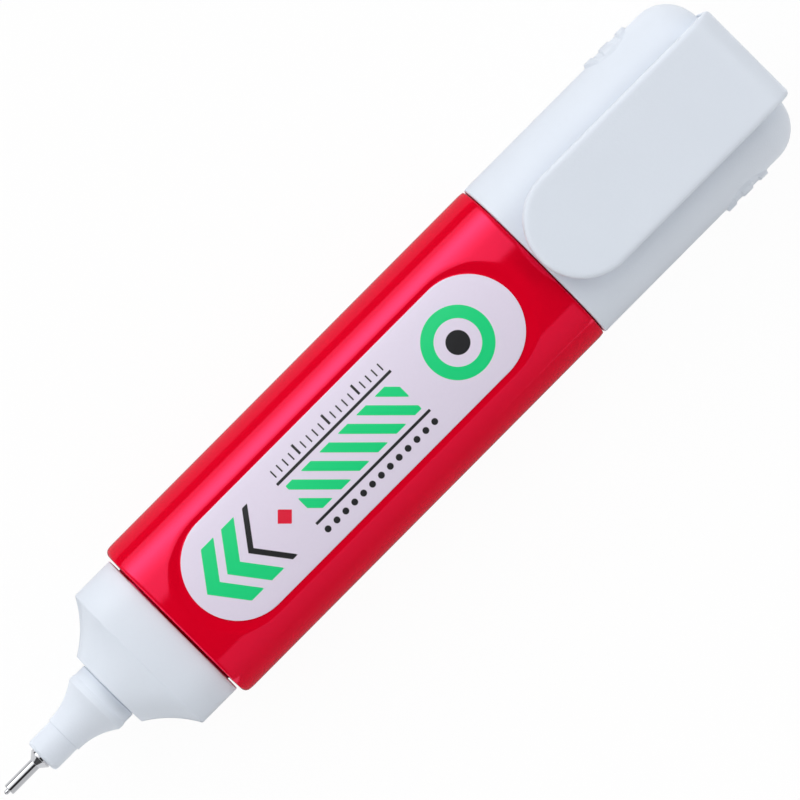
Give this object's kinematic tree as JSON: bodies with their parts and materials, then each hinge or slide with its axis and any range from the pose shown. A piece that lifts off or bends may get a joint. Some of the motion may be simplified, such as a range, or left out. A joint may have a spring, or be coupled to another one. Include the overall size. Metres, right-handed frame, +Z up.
{
  "type": "correction pen",
  "caption": "Correction pen with an oval squeeze barrel, a sprung needle-valve metal tip and a pull-off clip cap pushed onto its tail.",
  "frame": {"origin": "below the middle of the pen, on the surface that it lies on", "axes": "+X from the needle point to the cap's closed end, +Z up, out of the labelled face and the clip"},
  "size_m": [0.1252, 0.0248, 0.0198],
  "materials": {
    "red_barrel": "glossy moulded squeeze plastic",
    "white_plastic": "satin moulded plastic with a fine grain",
    "label_film": "printed satin film",
    "stainless_steel": "polished stainless steel",
    "natural_plastic": "natural moulded plastic",
    "grey_rubber": "soft moulded rubber"
  },
  "bodies": {
    "barrel": {"barrel": "red_barrel", "front_label": "label_film", "back_label": "label_film", "nozzle_shoulder": "white_plastic", "neck_gasket": "grey_rubber", "nose_cone": "white_plastic", "metal_tip": "stainless_steel", "spring_seat": "natural_plastic", "valve_spring": "stainless_steel"},
    "needle": {"needle_wire": "stainless_steel", "needle_plunger": "natural_plastic"},
    "ball": {"mixing_ball": "stainless_steel"},
    "cap": {"cap_shell": "white_plastic", "inner_cap": "natural_plastic", "tip_pad": "grey_rubber"},
    "clip": {"pocket_clip": "white_plastic"}
  },
  "joints": [
    {"name": "needle_press", "type": "slide", "parent": "barrel", "child": "needle", "axis": [1, 0, 0], "range_m": [0, 0.0004], "stiffness_N_per_m": 300, "springref_m": -0.001, "deforming": ["valve_spring"]},
    {"name": "ball_roll", "type": "slide", "parent": "barrel", "child": "ball", "axis": [-1, 0, 0], "range_m": [0, 0.0517]},
    {"name": "cap_pull", "type": "slide", "parent": "barrel", "child": "cap", "axis": [1, 0, 0], "range_m": [0, 0.03]},
    {"name": "clip_flex", "type": "hinge", "parent": "cap", "child": "clip", "pos_m": [0.06218, 0, 0.007], "axis": [0, 1, 0], "range_deg": [0, 4], "stiffness_Nm_per_rad": 1.2}
  ]
}
